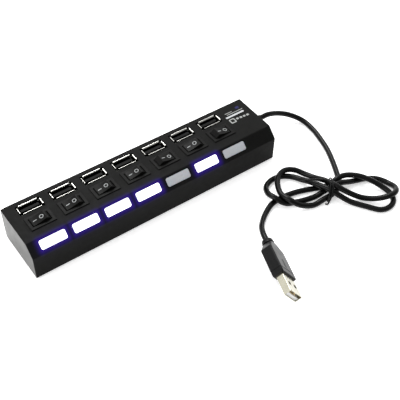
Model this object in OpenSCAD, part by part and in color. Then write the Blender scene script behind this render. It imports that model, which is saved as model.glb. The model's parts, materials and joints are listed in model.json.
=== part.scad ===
// Seven-port usb hub with a rocker switch and a light window for every port.
// Millimetres. Origin at the centre of the hub on the floor its feet stand on:
// +X runs along the body to the cord end, +Y to the back, +Z up.

/* [Body] */
// Length of the body
body_l = 163; // [150:1:180]
// Depth of the body from front to back
body_w = 36; // [34:0.5:42]
// Height of the body above its feet
body_h = 22.2; // [22:0.1:26]
// Depth of the sloped front edge
bevel_y = 6.3; // [6:0.1:8]
// Height of the sloped front edge
bevel_z = 6.2; // [6:0.1:8]
// Wall thickness of the housing
wall = 2; // [1.6:0.1:2.4]
// Thickness of the rubber feet
foot_h = 0.6; // [0.5:0.1:1.5]

/* [Stations] */
// Distance between neighbouring ports
pitch = 20; // [18:0.5:22]
// Position of the first port along the body
first_x = -67; // [-70:0.5:-60]
// Centre line of the usb ports
port_y = 11; // [10:0.1:12]
// Centre line of the switches
switch_y = -0.7; // [-2:0.1:0]
// Distance of the light windows below the top edge
window_s = 4; // [3.6:0.1:4.4]

/* [Ports] */
// Width of a port's metal shell
shell_w = 13.2; // [13:0.1:13.4]
// Depth of a port's metal shell
shell_d = 5.8; // [5.7:0.05:6]
// Sheet thickness of the metal shell
shell_t = 0.3; // [0.25:0.05:0.35]

/* [Switches] */
// Length of a switch bezel
bezel_l = 15; // [14:0.1:16]
// Width of a switch bezel
bezel_w = 10; // [9:0.1:11]
// Height of a bezel above the top face
bezel_h = 0.6; // [0.4:0.1:1.2]
// Width of a rocker
rocker_w = 5.9; // [5:0.1:6]
// Radius of a rocker's curved ends about its pins
rocker_r = 6.25; // [6:0.05:6.3]
// Tilt of a rocker at rest on either stop
tilt = 13.5; // [10:0.5:14]
// Radius of a rocker's pins
pin_r = 0.8; // [0.6:0.05:1]
// Running clearance between a pin and its hole
pin_gap = 0.05; // [0.02:0.01:0.1]

/* [Cord] */
// Diameter of the cord
cord_d = 3.4; // [3:0.1:3.4]
// Height of the cord's exit above the floor
exit_z = 11.5; // [10:0.5:13]
// Position of the cord's exit across the body
exit_y = 6; // [-4:0.5:8]

/* [Plug] */
// Width of the plug's metal shell
plug_w = 12; // [11.9:0.05:12.1]
// Thickness of the plug's metal shell
plug_t = 4.5; // [4.4:0.05:4.6]
// Length of the metal shell in front of the grip
plug_l = 11.8; // [11.5:0.1:12.5]
// Width of the plug's grip
grip_w = 15; // [14:0.5:17]
// Thickness of the plug's grip
grip_t = 7; // [6.5:0.5:9]
// Length of the plug's grip
grip_l = 23.5; // [20:0.5:26]

/* [Hidden] */
$fn = 48;
SEVEN = [0 : 6];

// Body levels and the inner faces of its walls
z_base = foot_h;
z_top = foot_h + body_h;
z_roof = z_top - wall;
half_l = body_l / 2;
half_w = body_w / 2;
half_in = half_l - wall;
cover_z = z_base + wall;
edge_y = bevel_y - half_w;
board_z = 6;
board_top = board_z + 1.6;
switch_z = 12.6;

// Clear gap round a port's shell where it comes up through the top face
port_gap = 0.9;

// The slope: its angle and the centre of the row of windows on it
slope = atan2(bevel_z, bevel_y);
window_y = edge_y - window_s * cos(slope);
window_z = z_top - window_s * sin(slope);

// Switch pivot line and the way each rocker is tipped: -1 on, +1 off
pivot_z = 20;
stop_z = 18.38;
STATES = [-1, -1, -1, -1, 1, -1, 1];

// The housing is screwed to the cover at four posts
POSTS = [[-76.9, -8], [-76.9, 8], [76.9, -8], [76.9, 0]];

// Cord route from the strain relief to the plug: down to the floor, then two turns of a
// pinched oval coil, crossing itself in low humps, and out to the plug
ROUTE = [
    [90, 6, 11.5], [96, 6, 11.3], [104, 5.5, 8.6], [111.5, 2.5, 5.6], [117.5, -3.5, 2.4],
    [118, -13, 1.7], [116, -23, 1.7], [113, -33, 1.7], [108.5, -43, 1.7],
    [103.5, -52.5, 1.7], [100, -58, 1.7], [95, -61.5, 1.7], [89, -63.5, 2.8],
    [82, -63.5, 2.5], [75, -63, 1.7], [67.5, -60, 3.8], [63.5, -55, 6.2],
    [62.5, -48.5, 5.8], [65.5, -41.5, 5.4], [70.5, -36, 5.2], [77, -34, 5.2],
    [83, -36, 3.9], [86.5, -41, 2.9], [89, -47.5, 3.6], [90.5, -54.5, 6.3], [91, -61, 8.4],
    [93.5, -66.5, 7.2], [98, -71, 4.1], [103, -76, 2.3], [108.5, -81.5, 3.4],
    [114.5, -85, 5.2], [120, -84.5, 5], [123.5, -81, 3.4], [124, -75.5, 1.8],
    [121.5, -69.5, 1.7], [117, -65.5, 1.7], [111, -63, 1.7], [104.5, -62, 3.2],
    [98, -61, 5.3], [92.5, -60, 5], [87, -59, 3], [80, -58.5, 1.7], [73, -57, 1.7],
    [67, -55, 1.7], [61.5, -53, 2.9], [58, -48, 5.2], [57.5, -42.5, 4.4], [61, -36.5, 2.3],
    [67, -33.5, 1.7], [74, -34, 1.7], [79.5, -38, 1.7], [82.5, -44, 2.5], [84, -51.5, 5.4],
    [86, -58, 6.6], [88, -63, 6.8], [91, -68, 4.3], [95, -74, 1.9], [100, -81.5, 1.7],
    [105, -88, 1.7], [111, -89.5, 1.7], [116.5, -87, 1.7], [119, -81.5, 1.8],
    [117.5, -75, 3.2], [114, -68.5, 5], [110, -62.5, 5.5], [104.5, -58, 5.4],
    [98.5, -57, 5.2], [93, -57, 3], [87, -54.5, 1.9], [80, -51.5, 1.7], [72, -49, 1.7],
    [64, -48, 1.7], [56, -48.5, 1.7], [48.5, -52, 1.7], [42.5, -56.5, 3],
    [37.5, -61.5, 5.6], [34, -67, 7.6], [32.2, -72.2, 7.8]
];

// Twist tie round the five strands: distance along the bundle, across it, and height
tie_at = [90, -60.5];
tie_dir = -38.5;
TIE = [
    [-18, -2, 7.4], [-13, -2.2, 8.8], [-7, -2, 10], [-2, -1, 10.4], [-0.6, 1.6, 10.3],
    [-0.8, 4.8, 9.2], [-1.2, 7.2, 6.8], [-1.5, 8, 4], [-1.6, 7.8, 1.9], [-0.8, 6, 0.5],
    [0.2, 3, 0.5], [0, -1, 0.5], [0, -4.6, 0.5], [0, -7.2, 1.5], [0, -7.9, 3.6],
    [0, -7, 6.3], [0.2, -3.8, 9.2], [0.6, -0.4, 10.6], [0.8, 3, 10.4], [0.6, 6, 8.4],
    [0, 8, 5.4], [-0.8, 8.8, 2.7], [-1.6, 9.4, 1.1], [-2.8, 8.8, 0.6]
];

// The plug lies on the edge of its grip, turned round and rolled about its own axis
plug_turn = -108;
plug_roll = -53;

// Distances along the plug from the back of its collar
collar_l = 3.6;
shoulder_l = 5.2;
grip_end = collar_l + grip_l;
shell_end = grip_end + plug_l;
shell_root = grip_end - 6;

function tie_point(p) = [
    tie_at.x + p.x * cos(tie_dir) + p.y * sin(tie_dir),
    tie_at.y + p.x * sin(tie_dir) - p.y * cos(tie_dir),
    p.z
];

// Unit vector and the direction of a path at one of its points
function unit(v) = v / norm(v);
function heading(path, i) =
    unit(path[min(i + 1, len(path) - 1)] - path[max(i - 1, 0)]);

// One ring of a tube, square to the path and never rolled about it
function ring(c, dir, r, sides) =
    let (side = unit(cross(dir, [0, 0, 1])), lift = cross(side, dir))
    [for (k = [0 : sides - 1])
        let (a = 360 * (k + 0.5) / sides)
        c + r * cos(a) * side + r * sin(a) * lift];

module tube(path, d, sides) {
    last = len(path) - 1;
    rings = [for (i = [0 : last]) each ring(path[i], heading(path, i), d / 2, sides)];
    walls = [for (i = [0 : last - 1], k = [0 : sides - 1])
        let (a = i * sides + k, b = i * sides + (k + 1) % sides)
        each [[a, b, b + sides], [a, b + sides, a + sides]]];
    first_end = [for (k = [sides - 1 : -1 : 0]) k];
    last_end = [for (k = [0 : sides - 1]) last * sides + k];
    polyhedron(rings, concat(walls, [first_end, last_end]));
}

// A box given by its centre in X and Y, its lower face and its size
module block(at, size) {
    translate([at.x - size.x / 2, at.y - size.y / 2, at.z]) cube(size);
}

// A flat plate with four round corners, standing on its centre
module plate(l, w, t, r) {
    block([0, 0, 0], [l - 2 * r, w, t]);
    block([0, 0, 0], [l, w - 2 * r, t]);
    for (x = [-1, 1], y = [-1, 1])
        translate([x * (l / 2 - r), y * (w / 2 - r), 0]) cylinder(r = r, h = t);
}

// Extrudes a section drawn in Y and Z between two positions along X
module along_x(from, to) {
    translate([from, 0, 0]) rotate([90, 0, 90]) linear_extrude(to - from) children();
}

// Extrudes a section drawn in X and Z, centred across Y
module across_y(width) {
    rotate([90, 0, 0]) linear_extrude(width, center = true) children();
}

function station(i) = first_x + pitch * i;

module at_station(i, y, z) {
    translate([station(i), y, z]) children();
}

module at_slope(i) {
    at_station(i, window_y, window_z) rotate([slope, 0, 0]) children();
}

module section() {
    polygon([
        [-half_w, z_base], [half_w, z_base], [half_w, z_top],
        [edge_y, z_top], [-half_w, z_top - bevel_z]
    ]);
}

// Inner section: every wall is one thickness in from the outside
module inner_section() {
    corner_y = edge_y + wall * tan(slope / 2);
    corner_z = z_top - bevel_z - wall * tan((90 - slope) / 2);
    polygon([
        [wall - half_w, z_base - 1], [half_w - wall, z_base - 1],
        [half_w - wall, z_roof], [corner_y, z_roof], [wall - half_w, corner_z]
    ]);
}

module upper_housing() {
    color([0.06, 0.06, 0.06])
    difference() {
        union() {
            difference() {
                along_x(-half_in, half_in) section();
                along_x(-half_in - 1, half_in + 1) inner_section();
            }
            for (p = POSTS)
                translate([p.x, p.y, cover_z]) cylinder(r = 2.4, h = z_roof + 0.5 - cover_z);
        }
        for (p = POSTS)
            translate([p.x, p.y, cover_z - 1]) cylinder(r = 1.05, h = 9);
        for (i = SEVEN) {
            at_station(i, port_y, z_roof - 1)
                block([0, 0, 0], [shell_w + 2 * port_gap, shell_d + 2 * port_gap, 4]);
            at_station(i, switch_y, z_roof - 1)
                block([0, 0, 0], [bezel_l - 1.4, bezel_w - 1.4, 4]);
            at_slope(i) translate([0, 0, -wall - 1]) plate(15.6, 5.35, 4, 1.05);
        }
    }
}

module bottom_cover() {
    color([0.07, 0.07, 0.07])
    difference() {
        union() {
            block([0, 0, z_base], [2 * half_in, 2 * (half_w - wall) - 0.2, wall]);
            for (x = [-60, -20, 20, 60], y = [-10, 6])
                translate([x, y, cover_z]) cylinder(r = 1.8, h = board_z - cover_z);
        }
        for (p = POSTS) {
            translate([p.x, p.y, z_base - 1]) cylinder(r = 1.15, h = wall + 2);
            translate([p.x, p.y, z_base - 1]) cylinder(r = 2.3, h = 2);
        }
    }
}

// A closing plate with four tongues that reach inside the front and back walls
module end_cap(side) {
    outer = side * half_l;
    inner = side * half_in;
    along_x(min(outer, inner), max(outer, inner)) section();
    for (z = [5, 13], y = [-14.9, 14.9])
        block([side * (half_in - 1.2), y, z], [2.4, 1.8, 3]);
}

module left_end_cap() {
    color([0.3, 0.3, 0.29]) end_cap(-1);
}

module right_end_cap() {
    color([0.07, 0.07, 0.07])
    difference() {
        end_cap(1);
        translate([half_in - 1, exit_y, exit_z]) rotate([0, 90, 0]) cylinder(r = 2.6, h = 4);
    }
}

module circuit_board() {
    color([0.05, 0.3, 0.14])
    block([0, 0.5, board_z], [148.6, 28.6, 1.6]);
}

// Metal shell: a folded tube open at its four corners and flared into four lips
module port_shell(i) {
    lip = 0.5;
    mouth = z_top - 0.1;
    color([0.8, 0.8, 0.78])
    at_station(i, port_y, 0) {
        difference() {
            block([0, 0, board_top], [shell_w, shell_d, mouth - board_top]);
            block([0, 0, board_top - 1],
                [shell_w - 2 * shell_t, shell_d - 2 * shell_t, mouth - board_top + 2]);
            for (x = [-3, 3])
                block([x, 0, 13], [1.8, shell_d + 1, 4.5]);
            for (x = [-1, 1], y = [-1, 1])
                block([x * shell_w / 2, y * shell_d / 2, mouth - 1.2], [2, 1.6, 2]);
        }
        for (s = [0, 180]) rotate([0, 0, s]) {
            along_x(-5.6, 5.6) polygon([
                [shell_d / 2 - shell_t, mouth], [shell_d / 2, mouth],
                [shell_d / 2 + lip, mouth + lip], [shell_d / 2 + lip - shell_t, mouth + lip]
            ]);
            across_y(4.2) polygon([
                [shell_w / 2 - shell_t, mouth], [shell_w / 2, mouth],
                [shell_w / 2 + lip, mouth + lip], [shell_w / 2 + lip - shell_t, mouth + lip]
            ]);
        }
        // spring fingers in the windows of the long sides
        for (s = [0, 180], x = [-3, 3]) rotate([0, 0, s])
            block([x, shell_d / 2 - shell_t / 2, 13], [1, shell_t, 4.5]);
    }
}

// Black insulator: a base inside the shell and the tongue that carries the contacts
module port_insulator(i) {
    color([0.05, 0.05, 0.05])
    at_station(i, port_y, 0) {
        block([0, 0, board_top], [shell_w - 2 * shell_t, shell_d - 2 * shell_t, 4]);
        block([0, 0.7, board_top + 4], [11.1, 1.8, z_top - 1.4 - board_top - 4]);
    }
}

module port_contacts() {
    color([0.8, 0.65, 0.3])
    for (i = SEVEN, x = [-3.5, -1, 1, 3.5])
        at_station(i, port_y - 0.3, board_top + 4) block([x, 0, 0], [1, 0.2, 8.2]);
}

// Switch frame: bezel, body through the top face, pin holes and stops for the rocker
module switch_frame(i) {
    slot_w = rocker_w + 0.5;
    color([0.05, 0.05, 0.05])
    at_station(i, switch_y, 0)
    difference() {
        union() {
            block([0, 0, z_top], [bezel_l, bezel_w, bezel_h]);
            block([0, 0, switch_z], [bezel_l - 1.5, bezel_w - 1.5, z_top - switch_z]);
        }
        block([0, 0, z_top - 0.1], [11.4, slot_w, bezel_h + 1]);
        block([0, 0, stop_z], [12.8, slot_w, z_top - stop_z]);
        block([0, 0, 16], [7.4, slot_w, 3]);
        translate([0, 0, pivot_z]) rotate([90, 0, 0])
            cylinder(r = pin_r + pin_gap, h = 7.8, center = true);
    }
}

// Rocker: ends curved about the pins, a shallow dip across the top, and a pin each side
module rocker_shape() {
    intersection() {
        rotate([90, 0, 0]) cylinder(r = rocker_r, h = rocker_w, center = true, $fn = 96);
        across_y(rocker_w) polygon([
            [-7, 5.05], [-2.1, 4.62], [0, 4.55], [2.1, 4.62], [7, 5.05],
            [7, 1.9], [5, -0.4], [-5, -0.4], [-7, 1.9]
        ]);
    }
    rotate([90, 0, 0]) cylinder(r = 1.7, h = rocker_w, center = true);
    rotate([90, 0, 0]) cylinder(r = pin_r, h = 7.6, center = true);
}

module rocker(i) {
    color([0.06, 0.06, 0.06])
    at_station(i, switch_y, pivot_z) rotate([0, STATES[i] * tilt, 0]) rocker_shape();
}

module switch_terminals() {
    color([0.75, 0.72, 0.65])
    for (i = SEVEN, x = [-4.5, 0, 4.5])
        at_station(i, switch_y, board_top) block([x, 0, 0], [0.6, 3, switch_z - board_top]);
}

// Translucent window let into the slope, with a rim behind the wall
module light_window(i) {
    color([0.85, 0.86, 0.9])
    at_slope(i) {
        translate([0, 0, -wall]) plate(15.5, 5.25, wall, 1);
        translate([0, 0, -wall - 0.7]) plate(17, 6.6, 0.7, 1);
    }
}

module leds() {
    color([0.8, 0.82, 0.95])
    for (i = SEVEN) at_station(i, -11.4, 0) {
        translate([0, 0, 10.6]) cylinder(r = 1.5, h = 3);
        translate([0, 0, 13.6]) sphere(r = 1.5);
        translate([0, 0, 9.6]) cylinder(r = 1.9, h = 1);
        for (x = [-1, 1]) block([x, 0, board_top], [0.5, 0.5, 2]);
    }
}

module hub_chips() {
    color([0.08, 0.08, 0.08]) {
        block([66, 8, board_top + 0.2], [7, 7, 1.4]);
        block([0, -3, board_z - 1.6], [10.2, 5.3, 1.4]);
    }
}

module chip_leads() {
    color([0.75, 0.75, 0.75]) {
        for (k = [-4 : 4], s = [-1, 1]) {
            block([66 + k * 0.7, 8 + s * 4, board_top], [0.3, 1, 0.3]);
            block([66 + s * 4, 8 + k * 0.7, board_top], [1, 0.3, 0.3]);
        }
        for (k = [-6 : 6], s = [-1, 1])
            block([k * 0.75, s * 3.15 - 3, board_z - 0.3], [0.35, 1, 0.3]);
    }
}

module crystal() {
    color([0.8, 0.8, 0.8])
    translate([66, -2.5, board_top]) plate(10.8, 4.4, 3.4, 2.15);
}

module capacitors() {
    color([0.1, 0.12, 0.3])
    for (p = [[64, -9.5], [70.5, -9.5]])
        translate([p.x, p.y, board_top]) cylinder(r = 2.5, h = 6.5);
}

module resistors() {
    color([0.15, 0.14, 0.13])
    for (i = SEVEN, x = [-5, 5])
        at_station(i, -8, board_top) block([x, 0, 0], [1.6, 0.8, 0.5]);
}

module case_screws() {
    color([0.7, 0.7, 0.72])
    for (p = POSTS) translate([p.x, p.y, z_base + 0.1]) {
        difference() {
            cylinder(r = 2.1, h = 0.9);
            block([0, 0, -1], [2.6, 0.5, 1.4]);
            block([0, 0, -1], [0.5, 2.6, 1.4]);
        }
        cylinder(r = 1, h = 8);
    }
}

module rubber_feet() {
    color([0.1, 0.1, 0.1])
    for (x = [-66, 66], y = [-11.5, 11.5])
        translate([x, y, 0]) cylinder(r = 4, h = foot_h);
}

// Strain relief: flange inside the cap, neck, and a tapered sleeve with grooves
module strain_relief() {
    color([0.05, 0.05, 0.05])
    translate([half_in, exit_y, exit_z]) rotate([0, 90, 0])
    rotate_extrude() polygon([
        [0, -1.4], [3.6, -1.4], [3.6, 0], [2.6, 0], [2.6, wall], [3.2, wall],
        [3.2, wall + 1.4], [2.6, wall + 1.4], [2.5, wall + 2.6], [2.2, wall + 2.6],
        [2.2, wall + 3.3], [2.4, wall + 3.3], [2.3, wall + 4.5], [2, wall + 4.5],
        [2, wall + 5.2], [2.2, wall + 5.2], [2, 10.5], [0, 10.5]
    ]);
}

// Four wires from the inner end of the strain relief down to the board
module cord_wires() {
    color([0.7, 0.2, 0.15])
    for (k = [-1.5 : 1.5])
        translate([73.2, exit_y + k * 1.1, board_top]) {
            cylinder(r = 0.4, h = exit_z - board_top);
            translate([0, 0, exit_z - board_top]) sphere(r = 0.4);
            translate([0, 0, exit_z - board_top]) rotate([0, 90, 0])
                cylinder(r = 0.4, h = half_in - 1.4 - 73.2);
        }
}

module cord() {
    color([0.04, 0.04, 0.04]) tube(ROUTE, cord_d, 8);
}

module twist_tie() {
    color([0.03, 0.03, 0.03]) tube([for (p = TIE) tie_point(p)], 0.9, 6);
}

// Plug parts are drawn along +X from the back of the grip's collar
module at_plug() {
    translate(ROUTE[len(ROUTE) - 1]) rotate([0, 0, plug_turn]) rotate([plug_roll, 0, 0])
        children();
}

module plug_box(from, to, w, t) {
    translate([from, -w / 2, -t / 2]) cube([to - from, w, t]);
}

// Grip seen from above: two shoulders widening from the collar to a straight body
module grip_outline() {
    polygon([
        [collar_l, -grip_t / 2], [collar_l + shoulder_l, -grip_w / 2], [grip_end, -grip_w / 2],
        [grip_end, grip_w / 2], [collar_l + shoulder_l, grip_w / 2], [collar_l, grip_t / 2]
    ]);
}

// Grip seen from its end, with its long edges broken
module grip_section() {
    w = grip_w / 2;
    t = grip_t / 2;
    edge = 0.5;
    polygon([
        [-w, edge - t], [edge - w, -t], [w - edge, -t], [w, edge - t],
        [w, t - edge], [w - edge, t], [edge - w, t], [-w, t - edge]
    ]);
}

module plug_grip() {
    color([0.05, 0.05, 0.05])
    at_plug() difference() {
        union() {
            rotate([0, 90, 0]) rotate_extrude() polygon([
                [0, 0], [2.6, 0], [3.2, 0.6], [3.5, collar_l - 0.6], [3, collar_l - 0.6],
                [3, collar_l + 0.5], [0, collar_l + 0.5]
            ]);
            intersection() {
                translate([0, 0, -grip_t / 2]) linear_extrude(grip_t) grip_outline();
                along_x(collar_l, grip_end) grip_section();
            }
        }
        plug_box(shell_root, grip_end + 1, plug_w, plug_t);
    }
}

module plug_shell() {
    color([0.8, 0.78, 0.72])
    at_plug() difference() {
        plug_box(shell_root, shell_end, plug_w, plug_t);
        plug_box(shell_root + 0.3, shell_end + 1, plug_w - 0.6, plug_t - 0.6);
        for (y = [-2.9, 2.9]) translate([grip_end + 4.6, y - 1.2, -5]) cube([2.4, 2.4, 10]);
    }
}

module plug_insulator() {
    color([0.9, 0.9, 0.88])
    at_plug() translate([0, 0, -1]) plug_box(shell_root + 0.3, shell_end - 0.6, 11.4, 1.9);
}

module plug_contacts() {
    color([0.85, 0.7, 0.35])
    at_plug() for (y = [-3.5, -1, 1, 3.5])
        translate([0, y, 0.05]) plug_box(grip_end - 1, shell_end - 1.4, 1, 0.2);
}

upper_housing();
bottom_cover();
left_end_cap();
right_end_cap();
circuit_board();
port_shell(0);  // port_shell_1
port_shell(1);  // port_shell_2
port_shell(2);  // port_shell_3
port_shell(3);  // port_shell_4
port_shell(4);  // port_shell_5
port_shell(5);  // port_shell_6
port_shell(6);  // port_shell_7
port_insulator(0);  // port_insulator_1
port_insulator(1);  // port_insulator_2
port_insulator(2);  // port_insulator_3
port_insulator(3);  // port_insulator_4
port_insulator(4);  // port_insulator_5
port_insulator(5);  // port_insulator_6
port_insulator(6);  // port_insulator_7
port_contacts();
switch_frame(0);  // switch_frame_1
switch_frame(1);  // switch_frame_2
switch_frame(2);  // switch_frame_3
switch_frame(3);  // switch_frame_4
switch_frame(4);  // switch_frame_5
switch_frame(5);  // switch_frame_6
switch_frame(6);  // switch_frame_7
rocker(0);  // rocker_1
rocker(1);  // rocker_2
rocker(2);  // rocker_3
rocker(3);  // rocker_4
rocker(4);  // rocker_5
rocker(5);  // rocker_6
rocker(6);  // rocker_7
switch_terminals();
light_window(0);  // light_window_1
light_window(1);  // light_window_2
light_window(2);  // light_window_3
light_window(3);  // light_window_4
light_window(4);  // light_window_5
light_window(5);  // light_window_6
light_window(6);  // light_window_7
leds();
hub_chips();
chip_leads();
crystal();
capacitors();
resistors();
case_screws();
rubber_feet();
strain_relief();
cord_wires();
cord();
twist_tie();
plug_grip();
plug_shell();
plug_insulator();
plug_contacts();
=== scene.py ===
"""The looks of a seven-port usb hub: a matte black body with light windows, plated ports,
rocker switches and a tied cord that ends in its plug. Lengths are in metres."""

import json
import math

import bmesh
import bpy
from mathutils import Matrix, Vector


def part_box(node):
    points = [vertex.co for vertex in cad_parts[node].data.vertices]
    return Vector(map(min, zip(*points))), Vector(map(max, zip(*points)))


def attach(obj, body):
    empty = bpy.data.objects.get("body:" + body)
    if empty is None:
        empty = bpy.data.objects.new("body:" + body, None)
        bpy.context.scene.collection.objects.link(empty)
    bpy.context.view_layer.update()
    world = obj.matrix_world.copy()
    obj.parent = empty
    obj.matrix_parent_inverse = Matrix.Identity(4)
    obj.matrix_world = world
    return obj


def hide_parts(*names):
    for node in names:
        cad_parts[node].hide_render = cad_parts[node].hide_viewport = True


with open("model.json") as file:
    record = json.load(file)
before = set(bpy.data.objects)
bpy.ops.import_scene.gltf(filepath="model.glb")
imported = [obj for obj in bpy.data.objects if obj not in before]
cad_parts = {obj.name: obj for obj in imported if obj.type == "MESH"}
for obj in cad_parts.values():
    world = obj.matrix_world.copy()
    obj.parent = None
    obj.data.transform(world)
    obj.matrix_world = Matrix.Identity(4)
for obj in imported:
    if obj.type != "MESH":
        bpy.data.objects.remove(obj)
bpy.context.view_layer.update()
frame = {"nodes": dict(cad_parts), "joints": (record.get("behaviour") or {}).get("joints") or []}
NODES = frame["nodes"]
MM = 0.001
HUB = "hub"

# The hub's body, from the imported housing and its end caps
BODY_LOW, BODY_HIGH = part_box("upper_housing")
BODY_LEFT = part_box("left_end_cap")[0].x
BODY_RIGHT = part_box("right_end_cap")[1].x
TOP = BODY_HIGH.z
SLOPE_DEPTH = 6.3 * MM
SLOPE_HEIGHT = 6.2 * MM
SLOPE = math.atan2(SLOPE_HEIGHT, SLOPE_DEPTH)
WALL = 2 * MM
EDGE_ROUND = 0.4 * MM

# How far a printed shape stands above the surface it is on, and how far it reaches below
PRINT_T = 0.03 * MM

# Light windows: how far down the slope they sit, and their half sizes and corner radius
WINDOW_DOWN = 4 * MM
WINDOW_HALF = (7.75 * MM, 2.625 * MM)
WINDOW_CORNER = 1 * MM

SWITCHES = frame["joints"]
CORD_D = 3.4 * MM


# ---- Camera -------------------------------------------------------------------------------

def make_camera():
    """A long lens over the front left of the hub, looking down at its ports."""
    azimuth, elevation, roll = 0.6402, 0.8282, 0.0261
    place = (-0.16634, -0.27645, 0.34717)
    forward = Vector((
        math.sin(azimuth) * math.cos(elevation),
        math.cos(azimuth) * math.cos(elevation),
        -math.sin(elevation),
    ))
    level = forward.cross(Vector((0, 0, 1))).normalized()
    upright = level.cross(forward)
    right = math.cos(roll) * level + math.sin(roll) * upright
    up = math.cos(roll) * upright - math.sin(roll) * level
    data = bpy.data.cameras.new("camera")
    data.sensor_width = 36
    data.lens = 72.19
    data.clip_start = 0.01
    data.clip_end = 100
    camera = bpy.data.objects.new("camera", data)
    bpy.context.scene.collection.objects.link(camera)
    axes = Matrix((right, up, -forward)).transposed()
    camera.matrix_world = Matrix.Translation(place) @ axes.to_4x4()
    bpy.context.scene.camera = camera


# ---- Materials ----------------------------------------------------------------------------

class Surface:
    """A procedural material under construction: a Principled shader and the nodes before it."""

    def __init__(self, name, colour, roughness, metallic=0.0, specular=0.5, coat=0.0):
        self.material = bpy.data.materials.new(name)
        self.material.use_nodes = True
        self.tree = self.material.node_tree
        self.shader = self.tree.nodes["Principled BSDF"]
        self.set("Base Color", (*colour, 1))
        self.set("Roughness", roughness)
        self.set("Metallic", metallic)
        self.set("Specular IOR Level", specular)
        self.set("Coat Weight", coat)
        self.colour = colour
        self.roughness = roughness
        self.place = self.tree.nodes.new("ShaderNodeTexCoord").outputs["Object"]

    def set(self, socket, value):
        self.shader.inputs[socket].default_value = value

    def link(self, output, socket):
        self.tree.links.new(output, self.shader.inputs[socket])

    def maths(self, operation, a, b):
        node = self.tree.nodes.new("ShaderNodeMath")
        node.operation = operation
        for socket, value in zip(node.inputs, (a, b)):
            if isinstance(value, (int, float)):
                socket.default_value = value
            else:
                self.tree.links.new(value, socket)
        return node.outputs[0]

    def vector_maths(self, operation, a, b=None):
        node = self.tree.nodes.new("ShaderNodeVectorMath")
        node.operation = operation
        self.tree.links.new(a, node.inputs[0])
        if b is not None:
            node.inputs[1].default_value = b
        return node

    def spread(self, value, low, high, from_low=0.0, from_high=1.0):
        node = self.tree.nodes.new("ShaderNodeMapRange")
        node.inputs["From Min"].default_value = from_low
        node.inputs["From Max"].default_value = from_high
        node.inputs["To Min"].default_value = low
        node.inputs["To Max"].default_value = high
        self.tree.links.new(value, node.inputs["Value"])
        return node.outputs["Result"]

    def noise(self, size, detail=2.0, stretch=(1, 1, 1)):
        """Noise with features about size metres across."""
        mapping = self.tree.nodes.new("ShaderNodeMapping")
        mapping.inputs["Scale"].default_value = stretch
        self.tree.links.new(self.place, mapping.inputs["Vector"])
        node = self.tree.nodes.new("ShaderNodeTexNoise")
        node.inputs["Scale"].default_value = 1 / size
        node.inputs["Detail"].default_value = detail
        self.tree.links.new(mapping.outputs["Vector"], node.inputs["Vector"])
        return node.outputs["Fac"]

    def mix(self, share, a, b):
        """A colour between a and b, where share runs from 0 to 1."""
        node = self.tree.nodes.new("ShaderNodeMix")
        node.data_type = "RGBA"
        self.tree.links.new(share, node.inputs["Factor"])
        for socket, colour in ((node.inputs[6], a), (node.inputs[7], b)):
            if isinstance(colour, tuple):
                socket.default_value = (*colour, 1)
            else:
                self.tree.links.new(colour, socket)
        return node.outputs[2]

    def sum(self, a, b):
        """Two colours added together."""
        node = self.tree.nodes.new("ShaderNodeMix")
        node.data_type = "RGBA"
        node.blend_type = "ADD"
        node.inputs["Factor"].default_value = 1
        self.tree.links.new(a, node.inputs[6])
        self.tree.links.new(b, node.inputs[7])
        return node.outputs[2]

    def height(self):
        """Height above the floor."""
        node = self.tree.nodes.new("ShaderNodeSeparateXYZ")
        self.tree.links.new(self.place, node.inputs["Vector"])
        return node.outputs["Z"]

    def mottle(self, size, amount, stretch=(1, 1, 1)):
        """Uneven colour: patches up to amount lighter or darker than the rest."""
        share = self.spread(self.noise(size, 4, stretch), 0, 1, 0.3, 0.7)
        dark = tuple(c * (1 - amount) for c in self.colour)
        light = tuple(min(1, c * (1 + amount)) for c in self.colour)
        self.mottled = self.mix(share, dark, light)
        self.link(self.mottled, "Base Color")

    def uneven_sheen(self, size, amount, stretch=(1, 1, 1)):
        low = max(0.02, self.roughness - amount)
        self.link(self.spread(self.noise(size, 3, stretch), low, self.roughness + amount, 0.3, 0.7),
                  "Roughness")

    def grain(self, size, height, strength=0.6, stretch=(1, 1, 1)):
        """A fine moulded or drawn texture in the surface."""
        bump = self.tree.nodes.new("ShaderNodeBump")
        bump.inputs["Strength"].default_value = strength
        bump.inputs["Distance"].default_value = height
        self.tree.links.new(self.noise(size, 3, stretch), bump.inputs["Height"])
        self.link(bump.outputs["Normal"], "Normal")

    def glow(self, colour, strength):
        self.set("Emission Color", (*colour, 1))
        self.set("Emission Strength", strength)


def moulded(name, colour, roughness, specular=0.5, grain=0.3 * MM, height=0.02 * MM, coat=0.0):
    """Injection-moulded plastic: a fine grain, a faint mottle and an uneven sheen."""
    surface = Surface(name, colour, roughness, specular=specular, coat=coat)
    surface.mottle(9 * MM, 0.12)
    surface.uneven_sheen(3 * MM, 0.05)
    surface.grain(grain, height)
    return surface


def plated(name, colour, roughness, stretch=(1, 1, 1)):
    """Plated or bare sheet metal, with drawing lines along the long axis of stretch."""
    surface = Surface(name, colour, roughness, metallic=1.0)
    surface.mottle(4 * MM, 0.06, stretch)
    surface.uneven_sheen(1.5 * MM, 0.05, stretch)
    surface.grain(0.25 * MM, 0.006 * MM, 0.5, stretch)
    return surface


def port_plating(stretch):
    """Plating of the port shells: bright on the flared lips, with painted shade that darkens it
    down inside the openings.
    """
    surface = plated("port_metal", (0.6, 0.595, 0.56), 0.25, stretch)
    # Painted shade: the plating's colour turns near black below the top face, inside the openings.
    painted_shade = (0.035, 0.035, 0.032)
    above = surface.spread(surface.height(), 0, 1, TOP - 0.3 * MM, TOP + 0.15 * MM)
    surface.link(surface.mix(above, painted_shade, surface.mottled), "Base Color")
    return surface


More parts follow.
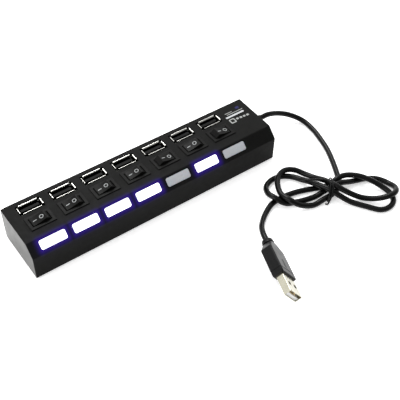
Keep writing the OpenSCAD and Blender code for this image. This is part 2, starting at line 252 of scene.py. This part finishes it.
def window_place(switch):
    """Centre of the light window in front of a switch, on the surface of the slope."""
    return Vector((
        switch["pos_m"][0],
        BODY_LOW.y + SLOPE_DEPTH - WINDOW_DOWN * math.cos(SLOPE),
        TOP - WINDOW_DOWN * math.sin(SLOPE),
    ))


def is_on(switch):
    """A switch that rests at the low end of its travel is on, and its window is lit."""
    return switch["range_deg"][1] > 0


def painted_window_glow(surface):
    """Painted glow: violet emission on the housing plastic beside each lit window, standing in for
    light from the window.
    """
    near_reach, far_reach = 3.8 * MM, 10 * MM
    near, far = 0.0, 0.0
    for switch in filter(is_on, SWITCHES):
        centre = window_place(switch)
        local = surface.tree.nodes.new("ShaderNodeMapping")
        local.vector_type = "TEXTURE"
        local.inputs["Location"].default_value = centre
        local.inputs["Rotation"].default_value = (SLOPE, 0, 0)
        surface.tree.links.new(surface.place, local.inputs["Vector"])
        across = surface.vector_maths("ABSOLUTE", local.outputs["Vector"]).outputs[0]
        outside = surface.vector_maths("SUBTRACT", across, (*WINDOW_HALF, 0)).outputs[0]
        beyond = surface.vector_maths("MAXIMUM", outside, (0, 0, 0)).outputs[0]
        gap = surface.vector_maths("LENGTH", beyond).outputs["Value"]
        near = surface.maths("MAXIMUM", surface.spread(gap, 1, 0, 0, near_reach), near)
        far = surface.maths("MAXIMUM", surface.spread(gap, 1, 0, 0, far_reach), far)
    near = surface.maths("POWER", near, 1.7)
    far = surface.maths("POWER", far, 2.5)
    none, deep, faint = (0, 0, 0), (0.02, 0.004, 0.2), (0.003, 0.0013, 0.014)
    light = surface.sum(surface.mix(near, none, deep), surface.mix(far, none, faint))
    surface.link(light, "Emission Color")
    surface.set("Emission Strength", 1.0)


def housing_plastic():
    colour = (0.0055, 0.0056, 0.0053)
    surface = moulded("housing_plastic", colour, 0.5, 0.045, 0.35 * MM, 0.025 * MM)
    # Painted violet glow on the housing round each lit window.
    painted_window_glow(surface)
    return surface


def lit_end_plastic():
    """The polished outer face of the left end: the body's black plastic, painted a lighter grey for
    the light that falls on it.
    """
    surface = Surface("lit_end_plastic", (0.06, 0.06, 0.058), 0.34, specular=0.22)
    surface.set("IOR", 1.35)
    surface.mottle(14 * MM, 0.05)
    surface.uneven_sheen(5 * MM, 0.03)
    surface.grain(0.5 * MM, 0.003 * MM, 0.4)
    return surface


def milky(name, colour, glow=None):
    """Frosted, light-spreading plastic of the windows."""
    surface = Surface(name, colour, 0.38, specular=0.4)
    surface.mottle(0.8 * MM, 0.05)
    surface.uneven_sheen(0.8 * MM, 0.06)
    surface.grain(0.45 * MM, 0.012 * MM)
    surface.set("Subsurface Weight", 0.15)
    surface.set("Subsurface Scale", 1.5 * MM)
    if glow:
        surface.glow(*glow)
    return surface


def cord_plastic():
    surface = Surface("cord_plastic", (0.0022, 0.0022, 0.0022), 0.22, specular=0.3)
    surface.set("IOR", 1.3)
    surface.mottle(12 * MM, 0.2)
    surface.uneven_sheen(6 * MM, 0.05)
    surface.grain(1.2 * MM, 0.015 * MM, 0.35)
    return surface


def circuit_green():
    surface = Surface("circuit_green", (0.02, 0.16, 0.06), 0.35, specular=0.5, coat=0.3)
    surface.mottle(2 * MM, 0.35, (1, 4, 1))
    surface.uneven_sheen(2 * MM, 0.08)
    surface.grain(0.8 * MM, 0.02 * MM)
    return surface


def make_materials():
    along = (0.15, 1, 1)
    black = (0.0045, 0.0045, 0.0042)
    made = {
        "housing": housing_plastic(),
        "painted_lit_end_face": lit_end_plastic(),
        "cover": moulded("cover_plastic", (0.01, 0.01, 0.01), 0.55, 0.15),
        "switch": moulded("switch_plastic", black, 0.42, 0.06, 0.5 * MM, 0.01 * MM),
        "rocker": moulded("rocker_plastic", black, 0.36, 0.06, 0.5 * MM, 0.008 * MM),
        "port_black": moulded("port_plastic", (0.005, 0.005, 0.005), 0.5, 0.08),
        "print": moulded("printed_grey", (0.3, 0.31, 0.3), 0.6, 0.2, 0.2 * MM, 0.004 * MM),
        "mark": moulded("rocker_mark", (0.28, 0.29, 0.29), 0.6, 0.2, 0.2 * MM, 0.004 * MM),
        "print_white": moulded("printed_white", (0.45, 0.46, 0.47), 0.6, 0.2, 0.2 * MM, 0.004 * MM),
        "print_blue": moulded("printed_blue", (0.006, 0.005, 0.07), 0.6, 0.2, 0.2 * MM, 0.004 * MM),
        "port_metal": port_plating(along),
        "plug_metal": plated("plug_metal", (0.43, 0.415, 0.335), 0.24, along),
        "gold": plated("contact_gold", (0.85, 0.62, 0.28), 0.25),
        "tin": plated("tinned_lead", (0.72, 0.7, 0.66), 0.35),
        "can": plated("drawn_can", (0.75, 0.75, 0.76), 0.3, (1, 1, 0.2)),
        "screw": plated("zinc_screw", (0.62, 0.62, 0.65), 0.38),
        "window_lit": milky("window_lit", (0.9, 0.9, 0.95), ((0.93, 0.92, 1.0), 1.3)),
        "window_unlit": milky("window_unlit", (0.38, 0.395, 0.42)),
        "led": milky("led_lens", (0.8, 0.82, 0.92)),
        "board": circuit_green(),
        "chip": moulded("chip_epoxy", (0.02, 0.02, 0.021), 0.5, 0.4, 0.15 * MM),
        "sleeve": moulded("capacitor_sleeve", (0.02, 0.025, 0.12), 0.3, 0.5),
        "film": moulded("resistor_film", (0.03, 0.028, 0.026), 0.4),
        "rubber": moulded("foot_rubber", (0.02, 0.02, 0.02), 0.75, 0.2),
        "relief": moulded("relief_rubber", (0.004, 0.004, 0.004), 0.42, 0.1, 0.4 * MM),
        "wire": moulded("wire_insulation", (0.35, 0.03, 0.02), 0.35),
        "cord": cord_plastic(),
        "tie": moulded("tie_coating", (0.003, 0.003, 0.003), 0.4, 0.12, 0.25 * MM, 0.01 * MM),
        "grip": moulded("grip_pvc", (0.0028, 0.0028, 0.003), 0.32, 0.13, 0.4 * MM, 0.012 * MM),
        "plug_white": moulded("plug_white", (0.62, 0.62, 0.6), 0.45),
    }
    return {key: surface.material for key, surface in made.items()}


# ---- Mesh making --------------------------------------------------------------------------

def finish_piece(name, mesh, material, replaces=(), body=HUB, angle=35):
    """Turns a mesh into a smooth-shaded piece that rides on a body."""
    mesh.shade_smooth()
    mesh.set_sharp_from_angle(angle=math.radians(angle))
    if not mesh.materials:
        mesh.materials.append(MATERIALS[material])
    piece = bpy.data.objects.new(name, mesh)
    bpy.context.scene.collection.objects.link(piece)
    weighted = piece.modifiers.new("even_normals", "WEIGHTED_NORMAL")
    weighted.keep_sharp = True
    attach(piece, body)
    if replaces:
        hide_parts(*replaces)
    return piece


def to_mesh(name, form, transform=None):
    """Makes a mesh of a bmesh, which it frees."""
    if transform:
        bmesh.ops.transform(form, matrix=transform, verts=form.verts)
    bmesh.ops.recalc_face_normals(form, faces=form.faces)
    mesh = bpy.data.meshes.new(name)
    form.to_mesh(mesh)
    form.free()
    return mesh


def add_skin(form, rings, closed=False):
    """Adds faces between rings of points, one after another, with flat ends unless closed."""
    rows = [[form.verts.new(p) for p in ring] for ring in rings]
    pairs = list(zip(rows, rows[1:]))
    if closed:
        pairs.append((rows[-1], rows[0]))
    for low, high in pairs:
        for k in range(len(low)):
            following = (k + 1) % len(low)
            form.faces.new((low[k], low[following], high[following], high[k]))
    if not closed:
        form.faces.new(rows[0][::-1])
        form.faces.new(rows[-1])


def skin(rings, closed=False):
    form = bmesh.new()
    add_skin(form, rings, closed)
    return form


def rounded_outline(half_x, half_y, corner, steps=6):
    """Points round a rectangle with round corners, in a plane."""
    points = []
    for quarter in range(4):
        sign_x = 1 if quarter in (0, 3) else -1
        sign_y = 1 if quarter in (0, 1) else -1
        for step in range(steps + 1):
            turn = math.radians(90 * (quarter + step / steps))
            points.append((
                sign_x * (half_x - corner) + corner * math.cos(turn),
                sign_y * (half_y - corner) + corner * math.sin(turn),
            ))
    return points


def stacked(layers):
    """Rings at rising heights from (outline, height) pairs."""
    return [[Vector((x, y, z)) for x, y in outline] for outline, z in layers]


def circle(steps):
    """Points (cos, sin) evenly spaced round a circle."""
    turns = [2 * math.pi * k / steps for k in range(steps)]
    return [(math.cos(turn), math.sin(turn)) for turn in turns]


def turned(profile, steps=48):
    """Rings round the X axis from (x, radius) pairs."""
    return [[Vector((x, r * c, r * s)) for c, s in circle(steps)] for x, r in profile]


def rounded_copy(node, name, width, wanted, segments=3):
    """A mesh of a CAD node with its flat faces made whole and the wanted sharp edges rounded."""
    form = bmesh.new()
    form.from_mesh(NODES[node].data)
    bmesh.ops.remove_doubles(form, verts=form.verts, dist=1e-6)
    flat = math.radians(0.5)
    bmesh.ops.dissolve_limit(form, angle_limit=flat, verts=form.verts, edges=form.edges)
    sharp = [
        edge for edge in form.edges
        if edge.is_manifold and edge.calc_face_angle(0) > math.radians(25) and wanted(edge)
    ]
    bmesh.ops.bevel(form, geom=sharp, offset=width, offset_type="OFFSET", segments=segments,
                    profile=0.5, affect="EDGES", clamp_overlap=True)
    mesh = to_mesh(name, form)
    mesh.materials.clear()
    return mesh


def ends_of(edge):
    return [v.co for v in edge.verts]


# ---- Cord ---------------------------------------------------------------------------------

# Cord route in millimetres, from the strain relief to the back of the plug's collar
ROUTE = [
    (90, 6, 11.5), (96, 6, 11.3), (104, 5.5, 8.6), (111.5, 2.5, 5.6), (117.5, -3.5, 2.4),
    (118, -13, 1.7), (116, -23, 1.7), (113, -33, 1.7), (108.5, -43, 1.7),
    (103.5, -52.5, 1.7), (100, -58, 1.7), (95, -61.5, 1.7), (89, -63.5, 2.8),
    (82, -63.5, 2.5), (75, -63, 1.7), (67.5, -60, 3.8), (63.5, -55, 6.2),
    (62.5, -48.5, 5.8), (65.5, -41.5, 5.4), (70.5, -36, 5.2), (77, -34, 5.2),
    (83, -36, 3.9), (86.5, -41, 2.9), (89, -47.5, 3.6), (90.5, -54.5, 6.3), (91, -61, 8.4),
    (93.5, -66.5, 7.2), (98, -71, 4.1), (103, -76, 2.3), (108.5, -81.5, 3.4),
    (114.5, -85, 5.2), (120, -84.5, 5), (123.5, -81, 3.4), (124, -75.5, 1.8),
    (121.5, -69.5, 1.7), (117, -65.5, 1.7), (111, -63, 1.7), (104.5, -62, 3.2),
    (98, -61, 5.3), (92.5, -60, 5), (87, -59, 3), (80, -58.5, 1.7), (73, -57, 1.7),
    (67, -55, 1.7), (61.5, -53, 2.9), (58, -48, 5.2), (57.5, -42.5, 4.4), (61, -36.5, 2.3),
    (67, -33.5, 1.7), (74, -34, 1.7), (79.5, -38, 1.7), (82.5, -44, 2.5), (84, -51.5, 5.4),
    (86, -58, 6.6), (88, -63, 6.8), (91, -68, 4.3), (95, -74, 1.9), (100, -81.5, 1.7),
    (105, -88, 1.7), (111, -89.5, 1.7), (116.5, -87, 1.7), (119, -81.5, 1.8),
    (117.5, -75, 3.2), (114, -68.5, 5), (110, -62.5, 5.5), (104.5, -58, 5.4),
    (98.5, -57, 5.2), (93, -57, 3), (87, -54.5, 1.9), (80, -51.5, 1.7), (72, -49, 1.7),
    (64, -48, 1.7), (56, -48.5, 1.7), (48.5, -52, 1.7), (42.5, -56.5, 3),
    (37.5, -61.5, 5.6), (34, -67, 7.6), (32.2, -72.2, 7.8),
]

EXIT = tuple(c * MM for c in ROUTE[0])

# Twist tie: distance along the bundle of strands, across it, and height, in millimetres
TIE = [
    (-18, -2, 7.4), (-13, -2.2, 8.8), (-7, -2, 10), (-2, -1, 10.4), (-0.6, 1.6, 10.3),
    (-0.8, 4.8, 9.2), (-1.2, 7.2, 6.8), (-1.5, 8, 4), (-1.6, 7.8, 1.9), (-0.8, 6, 0.5),
    (0.2, 3, 0.5), (0, -1, 0.5), (0, -4.6, 0.5), (0, -7.2, 1.5), (0, -7.9, 3.6),
    (0, -7, 6.3), (0.2, -3.8, 9.2), (0.6, -0.4, 10.6), (0.8, 3, 10.4), (0.6, 6, 8.4),
    (0, 8, 5.4), (-0.8, 8.8, 2.7), (-1.6, 9.4, 1.1), (-2.8, 8.8, 0.6),
]
TIE_AT = Vector((90, -60.5)) * MM
TIE_TURN = math.radians(-38.5)
TIE_D = 0.9 * MM


def smooth_line(points, floor, steps=8):
    """A smooth line through points, kept from sinking below a floor."""
    ends = [2 * points[0] - points[1], *points, 2 * points[-1] - points[-2]]
    line = []
    for a, b, c, d in zip(ends, ends[1:], ends[2:], ends[3:]):
        for step in range(steps):
            t = step / steps
            line.append(0.5 * (
                2 * b + (c - a) * t + (2 * a - 5 * b + 4 * c - d) * t ** 2
                + (3 * b - a - 3 * c + d) * t ** 3
            ))
    line.append(points[-1])
    return [Vector((p.x, p.y, max(p.z, floor))) for p in line]


def round_curve(name, line, diameter, material):
    """A round tube along a line, as a curve of one open spline."""
    data = bpy.data.curves.new(name, "CURVE")
    data.dimensions = "3D"
    data.bevel_depth = diameter / 2
    data.bevel_resolution = 6
    data.use_fill_caps = True
    spline = data.splines.new("POLY")
    spline.points.add(len(line) - 1)
    for point, place in zip(spline.points, line):
        point.co = (*place, 1)
    spline.use_smooth = True
    data.materials.append(material)
    piece = bpy.data.objects.new(name, data)
    bpy.context.scene.collection.objects.link(piece)
    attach(piece, HUB)
    return piece


def tie_place(along, across, height):
    """A point of the tie, from its place in the bundle."""
    c, s = math.cos(TIE_TURN), math.sin(TIE_TURN)
    return Vector((
        TIE_AT.x + (along * c + across * s) * MM,
        TIE_AT.y + (along * s - across * c) * MM,
        height * MM,
    ))


def make_strain_relief():
    """Collar, ribbed sleeve and taper where the cord leaves the body.

    The profile is the distance from the end cap's inner face and the radius, in millimetres."""
    start = BODY_RIGHT - WALL
    profile = [(-1.4, 0.4), (-1.4, 3.6), (0, 3.6), (0, 2.6), (2, 2.6), (2, 3.05), (2.15, 3.2),
               (3.2, 3.2), (3.35, 3.05), (3.4, 2.62)]
    ribs, first_x, rib_pitch, first_r, taper = 4, 3.6, 1.35, 2.56, 0.12
    for k in range(ribs):
        x, radius = first_x + rib_pitch * k, first_r - taper * k
        profile += [(x, radius), (x + 0.7, radius - 0.04), (x + 0.8, radius - 0.3),
                    (x + 1.15, radius - 0.32), (x + 1.25, radius - 0.1)]
    profile += [(9.2, 2.15), (10.1, 2.05), (10.45, 1.95), (10.5, 1.75)]
    rings = turned([(x * MM, r * MM) for x, r in profile])
    place = Matrix.Translation((start, EXIT[1], EXIT[2]))
    mesh = to_mesh("strain_relief_sleeve", skin(rings), place)
    return finish_piece("strain_relief_sleeve", mesh, "relief", ["strain_relief"])


# ---- Plug ---------------------------------------------------------------------------------

PLUG_TURN = math.radians(-108)
PLUG_ROLL = math.radians(-53)


def plug_frame():
    """The plug's own frame: along +X from the back of its collar."""
    back = Vector(ROUTE[-1]) * MM
    return (Matrix.Translation(back) @ Matrix.Rotation(PLUG_TURN, 4, "Z")
            @ Matrix.Rotation(PLUG_ROLL, 4, "X"))


def make_plug_grip():
    """Moulded grip: a round collar, sloping shoulders, and a body with rounded edges.

    Sections in millimetres: the distance along the plug, then the collar's radius, or the
    body's half width, half thickness and corner radius."""
    collar = [(0, 2.5), (0.15, 2.9), (0.6, 3.2), (1.8, 3.4), (2.9, 3.5), (3.0, 3.4),
              (3.08, 3.0), (3.5, 3.0)]
    body = [(3.56, 3.3, 3.1, 2.8), (3.75, 3.6, 3.3, 2.3), (6.0, 5.3, 3.45, 1.5),
            (8.2, 7.0, 3.5, 0.95), (8.6, 7.3, 3.5, 0.85), (9.1, 7.5, 3.5, 0.75),
            (23.5, 7.5, 3.5, 0.75), (23.6, 7.3, 3.32, 0.7), (24.1, 7.3, 3.32, 0.7),
            (24.2, 7.5, 3.5, 0.75), (26.6, 7.42, 3.45, 0.75), (26.95, 7.25, 3.3, 0.7),
            (27.1, 6.95, 3.0, 0.6)]
    sections = [(x, r, r, r * 0.999) for x, r in collar] + body
    rings = [
        [Vector((x * MM, y, z)) for y, z in rounded_outline(a * MM, b * MM, r * MM, 8)]
        for x, a, b, r in sections
    ]
    mesh = to_mesh("plug_handle", skin(rings), plug_frame())
    return finish_piece("plug_handle", mesh, "grip", ["plug_grip"], angle=50)


def make_plug_mark():
    """Plain raised arrow on each wide face of the grip, which shows the way it goes in."""
    form = bmesh.new()
    face, sunk, proud = 3.5 * MM, 0.1 * MM, 0.12 * MM
    tail, neck, tip = 16.2 * MM, 19.8 * MM, 22 * MM
    stem, half = 0.45 * MM, 1.7 * MM
    outline = [(tail, -stem), (neck, -stem), (neck, -half), (tip, 0), (neck, half), (neck, stem),
               (tail, stem)]
    for side in (-1, 1):
        layers = [(outline, side * (face - sunk)), (outline, side * (face + proud))]
        add_skin(form, stacked(layers))
    mesh = to_mesh("plug_arrow", form, plug_frame())
    return finish_piece("plug_arrow", mesh, "grip")


def make_plug_shell():
    """Folded metal shell with its two latch holes and rounded folds."""
    away = plug_frame().inverted()
    shortest, inner_half_w, inner_half_t = 2 * MM, 5.9 * MM, 2.15 * MM

    def is_fold(edge):
        a, b = (away @ p for p in ends_of(edge))
        outer = abs(a.y) > inner_half_w and abs(a.z) > inner_half_t
        return abs(a.x - b.x) > shortest and outer

    mesh = rounded_copy("plug_shell", "plug_tube", 0.55 * MM, is_fold, 4)
    return finish_piece("plug_tube", mesh, "plug_metal", ["plug_shell"])


def make_cord():
    """The cord, from inside the strain relief to inside the plug's collar."""
    points = [Vector(p) * MM for p in ROUTE]
    inside = 1.5 * MM
    plug_way = plug_frame().to_3x3() @ Vector((1, 0, 0))
    line = smooth_line(points, CORD_D / 2)
    line = [points[0] - Vector((inside, 0, 0)), *line, points[-1] + inside * plug_way]
    cord = round_curve("usb_cord", line, CORD_D, MATERIALS["cord"])
    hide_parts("cord")
    tie_line = smooth_line([tie_place(*p) for p in TIE], TIE_D / 2, 6)
    tie = round_curve("twist_tie_wire", tie_line, TIE_D, MATERIALS["tie"])
    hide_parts("twist_tie")
    on_cord = [make_strain_relief(), tie, make_plug_grip(), make_plug_mark(), make_plug_shell(),
               NODES["plug_insulator"], NODES["plug_contacts"]]


# ---- Body ---------------------------------------------------------------------------------

def is_outer_long(edge):
    """A long edge of the body's outer section."""
    a, b = ends_of(edge)
    near = 0.05 * MM
    outer = abs(a.y) > BODY_HIGH.y - near or a.z > TOP - near
    return abs(a.x - b.x) > 20 * MM and outer


def make_housing():
    mesh = rounded_copy("upper_housing", "housing_shell", EDGE_ROUND, is_outer_long)
    finish_piece("housing_shell", mesh, "housing", ["upper_housing"])


def make_end_cap(node, name, outer_x, face_material):
    """End cap: its outer rim and the corners of its section rounded like the body's."""
    near, thick, side_l = 0.05 * MM, 1.9 * MM, 4 * MM

    def is_rim(edge):
        a, b = ends_of(edge)
        on_face = abs(a.x - outer_x) < near and abs(b.x - outer_x) < near
        corner = abs(a.x - b.x) > thick and (abs(a.y) > BODY_HIGH.y - near or a.z > TOP - near)
        return (on_face and (a - b).length > side_l) or corner

    mesh = rounded_copy(node, name, EDGE_ROUND, is_rim)
    mesh.materials.append(MATERIALS["housing"])
    mesh.materials.append(MATERIALS[face_material])
    # The flat outer face takes face_material; on the left end this is a lighter grey painted in for
    # the light on that face.
    for polygon in mesh.polygons:
        flat_outside = abs(polygon.normal.x) > 0.95 and abs(polygon.center.x - outer_x) < 0.1 * MM
        polygon.material_index = 1 if flat_outside else 0
    finish_piece(name, mesh, None, [node])


# ---- Ports --------------------------------------------------------------------------------

def make_ports():
    """Metal shells with the edges of their lips eased."""
    clear, shortest, eased = 0.1 * MM, 1.5 * MM, 0.07 * MM

    def is_lip(edge):
        a, b = ends_of(edge)
        return min(a.z, b.z) > TOP + clear and (a - b).length > shortest

    for k in range(1, len(SWITCHES) + 1):
        name = f"port_mouth_{k}"
        mesh = rounded_copy(f"port_shell_{k}", name, eased, is_lip, 2)
        finish_piece(name, mesh, "port_metal", [f"port_shell_{k}"])


# ---- Switches -----------------------------------------------------------------------------

ROCKER_R = 6.25 * MM
ROCKER_HALF_W = 2.95 * MM
ROCKER_TOP = 4.55 * MM
ROCKER_EDGE = 4 * MM
ROCKER_DIP = 0.24 * MM
ROCKER_LOW = 1.9 * MM
ROCKER_FOOT = (5 * MM, -0.4 * MM)
MARK_X = 2.05 * MM


def rocker_height(x):
    """Height of the rocker's dished top above its pivot."""
    return ROCKER_TOP + ROCKER_DIP * (x / ROCKER_EDGE) ** 2


def rocker_profile():
    """Side view of a rocker: dished top, round ends and a narrower foot."""
    edge_turn = math.asin(rocker_height(ROCKER_EDGE) / ROCKER_R)
    low_turn = math.asin(ROCKER_LOW / ROCKER_R)
    steps, dish_steps = 8, 12
    right = []
    for k in range(steps + 1):
        turn = low_turn + (edge_turn - low_turn) * k / steps
        right.append((ROCKER_R * math.cos(turn), ROCKER_R * math.sin(turn)))
    edge = right[-1][0]
    across = [edge * (1 - 2 * k / dish_steps) for k in range(1, dish_steps)]
    dish = [(x, rocker_height(x)) for x in across]
    left = [(-x, z) for x, z in reversed(right)]
    foot_x, foot_z = ROCKER_FOOT
    foot = [(-foot_x, foot_z), (foot_x, foot_z)]
    return right + dish + left + foot


def rocker_frame(switch):
    """Where a rocker stands at rest: tipped about its pins onto one of its stops."""
    tilt = -sum(switch["range_deg"]) / 2
    return Matrix.Translation(switch["pos_m"]) @ Matrix.Rotation(math.radians(tilt), 4, "Y")


def make_rocker(switch, k):
    profile = rocker_profile()
    rings = [[Vector((x, y, z)) for x, z in profile] for y in (-ROCKER_HALF_W, ROCKER_HALF_W)]
    form = skin(rings)
    edges = [e for e in form.edges if e.calc_face_angle(0) > math.radians(28)]
    bmesh.ops.bevel(form, geom=edges, offset=0.2 * MM, offset_type="OFFSET", segments=3,
                    profile=0.5, affect="EDGES", clamp_overlap=True)
    steps, pin_r, pin_half = 24, 0.8 * MM, 3.8 * MM
    eased = 0.15 * MM
    pin_profile = ((ROCKER_HALF_W - 0.5 * MM, pin_r), (pin_half - eased, pin_r),
                   (pin_half, pin_r - eased))
    for side in (-1, 1):
        pin = [[Vector((r * c, side * y, r * s)) for c, s in circle(steps)] for y, r in pin_profile]
        add_skin(form, pin)
    mesh = to_mesh(f"rocker_button_{k}", form, rocker_frame(switch))
    finish_piece(f"rocker_button_{k}", mesh, "rocker", [f"rocker_{k}"],
                 body=switch["child"])


def make_marks(switch, k):
    """The on dash and the off ring, printed on the rocker's top."""
    form = bmesh.new()
    dash = [(x - MARK_X, y) for x, y in rounded_outline(1.15 * MM, 0.25 * MM, 0.2 * MM, 3)]
    add_skin(form, stacked([(dash, -PRINT_T), (dash, PRINT_T)]))
    inner, outer = 0.86 * MM, 1.25 * MM
    section = ((inner, -PRINT_T), (inner, PRINT_T), (outer, PRINT_T), (outer, -PRINT_T))
    ring = [[Vector((MARK_X + r * c, r * s, z)) for r, z in section] for c, s in circle(40)]
    add_skin(form, ring, closed=True)
    for vert in form.verts:
        vert.co.z += rocker_height(vert.co.x)
    mesh = to_mesh(f"rocker_marks_{k}", form, rocker_frame(switch))
    finish_piece(f"rocker_marks_{k}", mesh, "mark", body=switch["child"])


def make_switch_frame(k):
    name = f"switch_bezel_{k}"

    def is_bezel(edge):
        return min(p.z for p in ends_of(edge)) > TOP + 0.5 * MM

    mesh = rounded_copy(f"switch_frame_{k}", name, 0.16 * MM, is_bezel)
    finish_piece(name, mesh, "switch", [f"switch_frame_{k}"])


def make_window(switch, k):
    """A light window: a retaining rim, straight sides, an eased edge and a faint crown."""
    a, b = WINDOW_HALF

    def outline(inset):
        corner = max(WINDOW_CORNER - inset, 0.3 * MM)
        return rounded_outline(a - inset, b - inset, corner)

    rim = rounded_outline(a + 0.75 * MM, b + 0.67 * MM, WINDOW_CORNER)
    rim_t = 0.7 * MM
    layers = [(rim, -WALL - rim_t), (rim, -WALL), (outline(0), -WALL),
              (outline(0), -0.16 * MM), (outline(0.05 * MM), -0.06 * MM), (outline(0.16 * MM), 0),
              (outline(1.0 * MM), 0.05 * MM), (outline(2.2 * MM), 0.08 * MM)]
    place = Matrix.Translation(window_place(switch)) @ Matrix.Rotation(SLOPE, 4, "X")
    mesh = to_mesh(f"window_lens_{k}", skin(stacked(layers)), place)
    state = "window_lit" if is_on(switch) else "window_unlit"
    finish_piece(f"window_lens_{k}", mesh, state, [f"light_window_{k}"])


def make_switches():
    for k, switch in enumerate(SWITCHES, 1):
        make_rocker(switch, k)
        make_marks(switch, k)
        make_switch_frame(k)
        make_window(switch, k)


# ---- Printed shapes -----------------------------------------------------------------------

def add_print(form, outline, at):
    """A flat printed shape on the top face."""
    moved = [(x + at[0], y + at[1]) for x, y in outline]
    add_skin(form, stacked([(moved, TOP - PRINT_T), (moved, TOP + PRINT_T)]))


def bar(length, width):
    return rounded_outline(length / 2, width / 2, width * 0.3, 3)


def make_prints():
    """Plain bars, dashes and a square outline in place of the maker's printing."""
    grey = bmesh.new()
    for x, y, length in ((67.6, 11.1, 5.2), (71.4, 9.7, 11.6)):
        add_print(grey, bar(length * MM, 0.45 * MM), (x * MM, y * MM))
    for k in range(4):
        add_print(grey, bar(1.7 * MM, 1.5 * MM), ((69.3 + 2.4 * k) * MM, (4.0 - 0.2 * k) * MM))
    outer = rounded_outline(1.9 * MM, 1.9 * MM, 0.6 * MM, 4)
    inner = rounded_outline(1.2 * MM, 1.2 * MM, 0.4 * MM, 4)
    centre = (65.6 * MM, 3.8 * MM)
    rings = []
    for far, near in zip(outer, inner):
        rings.append([
            Vector((centre[0] + x, centre[1] + y, TOP + lift))
            for (x, y), lift in ((near, -PRINT_T), (near, PRINT_T), (far, PRINT_T), (far, -PRINT_T))
        ])
    add_skin(grey, rings, closed=True)
    finish_piece("print_marks", to_mesh("print_marks", grey), "print")
    white = bmesh.new()
    add_print(white, bar(13.2 * MM, 1.3 * MM), (70.1 * MM, 7.7 * MM))
    finish_piece("print_bar", to_mesh("print_bar", white), "print_white")
    blue = bmesh.new()
    add_print(blue, rounded_outline(1.3 * MM, 0.9 * MM, 0.7 * MM), (75 * MM, 12.3 * MM))
    finish_piece("print_spot", to_mesh("print_spot", blue), "print_blue")


# ---- Parts that keep their CAD shape ------------------------------------------------------

def dress(node, material):
    """Gives a CAD node its material."""
    mesh = NODES[node].data
    mesh.materials.clear()
    mesh.materials.append(MATERIALS[material])


def dress_cad_parts():
    plain = {
        "bottom_cover": "cover", "circuit_board": "board", "port_contacts": "gold",
        "switch_terminals": "tin", "leds": "led", "hub_chips": "chip", "chip_leads": "tin",
        "crystal": "can", "capacitors": "sleeve", "resistors": "film", "case_screws": "screw",
        "rubber_feet": "rubber", "cord_wires": "wire", "plug_insulator": "plug_white",
        "plug_contacts": "gold",
    }
    for node, material in plain.items():
        dress(node, material)
    for k in range(1, len(SWITCHES) + 1):
        dress(f"port_insulator_{k}", "port_black")


# ---- Stage --------------------------------------------------------------------------------

def make_floor():
    """A wide pale floor under the feet, with a faint glow that keeps its shadows pale."""
    half = 4.0
    form = bmesh.new()
    corners = [form.verts.new((x, y, 0))
               for x, y in ((-half, -half), (half, -half), (half, half), (-half, half))]
    form.faces.new(corners)
    mesh = to_mesh("floor", form)
    surface = Surface("floor_white", (0.94, 0.94, 0.94), 0.8, specular=0.1)
    surface.mottle(0.2, 0.01)
    surface.glow((1, 1, 1), 0.42)
    mesh.materials.append(surface.material)
    floor = bpy.data.objects.new("floor", mesh)
    bpy.context.scene.collection.objects.link(floor)


def add_light(name, place, target, side, power):
    """A square soft light that faces a target."""
    data = bpy.data.lights.new(name, "AREA")
    data.shape = "SQUARE"
    data.size = side
    data.energy = power
    light = bpy.data.objects.new(name, data)
    bpy.context.scene.collection.objects.link(light)
    way = Vector(target) - Vector(place)
    light.location = place
    light.rotation_euler = way.to_track_quat("-Z", "Y").to_euler()


def make_world():
    """Soft white surroundings, dimmer towards the front."""
    world = bpy.data.worlds.new("studio")
    bpy.context.scene.world = world
    world.use_nodes = True
    tree = world.node_tree
    background = tree.nodes["Background"]
    coordinates = tree.nodes.new("ShaderNodeTexCoord")
    split = tree.nodes.new("ShaderNodeSeparateXYZ")
    tree.links.new(coordinates.outputs["Generated"], split.inputs["Vector"])
    spread = tree.nodes.new("ShaderNodeMapRange")
    ramp = {"From Min": -0.7, "From Max": 0.4, "To Min": 0.4, "To Max": 1.5}
    for socket, value in ramp.items():
        spread.inputs[socket].default_value = value
    tree.links.new(split.outputs["Y"], spread.inputs["Value"])
    tree.links.new(spread.outputs["Result"], background.inputs["Strength"])
    background.inputs["Color"].default_value = (1, 1, 1, 1)


def make_stage():
    make_floor()
    make_world()
    hub = (0, 0, 0.01)
    add_light("key", (0.25, 0.75, 1.25), hub, 0.6, 13)
    add_light("left_fill", (-1.0, -0.1, 0.45), hub, 0.8, 6)
    bpy.context.scene.view_settings.view_transform = "Standard"


# ---- Everything ---------------------------------------------------------------------------

make_camera()
MATERIALS = make_materials()
make_cord()
make_housing()
# The left end's outer face is painted a lighter grey for the light that falls on it; the right
# end's is plain housing plastic.
make_end_cap("left_end_cap", "left_end", BODY_LEFT, "painted_lit_end_face")
make_end_cap("right_end_cap", "right_end", BODY_RIGHT, "housing")
make_ports()
make_switches()
make_prints()
dress_cad_parts()
make_stage()
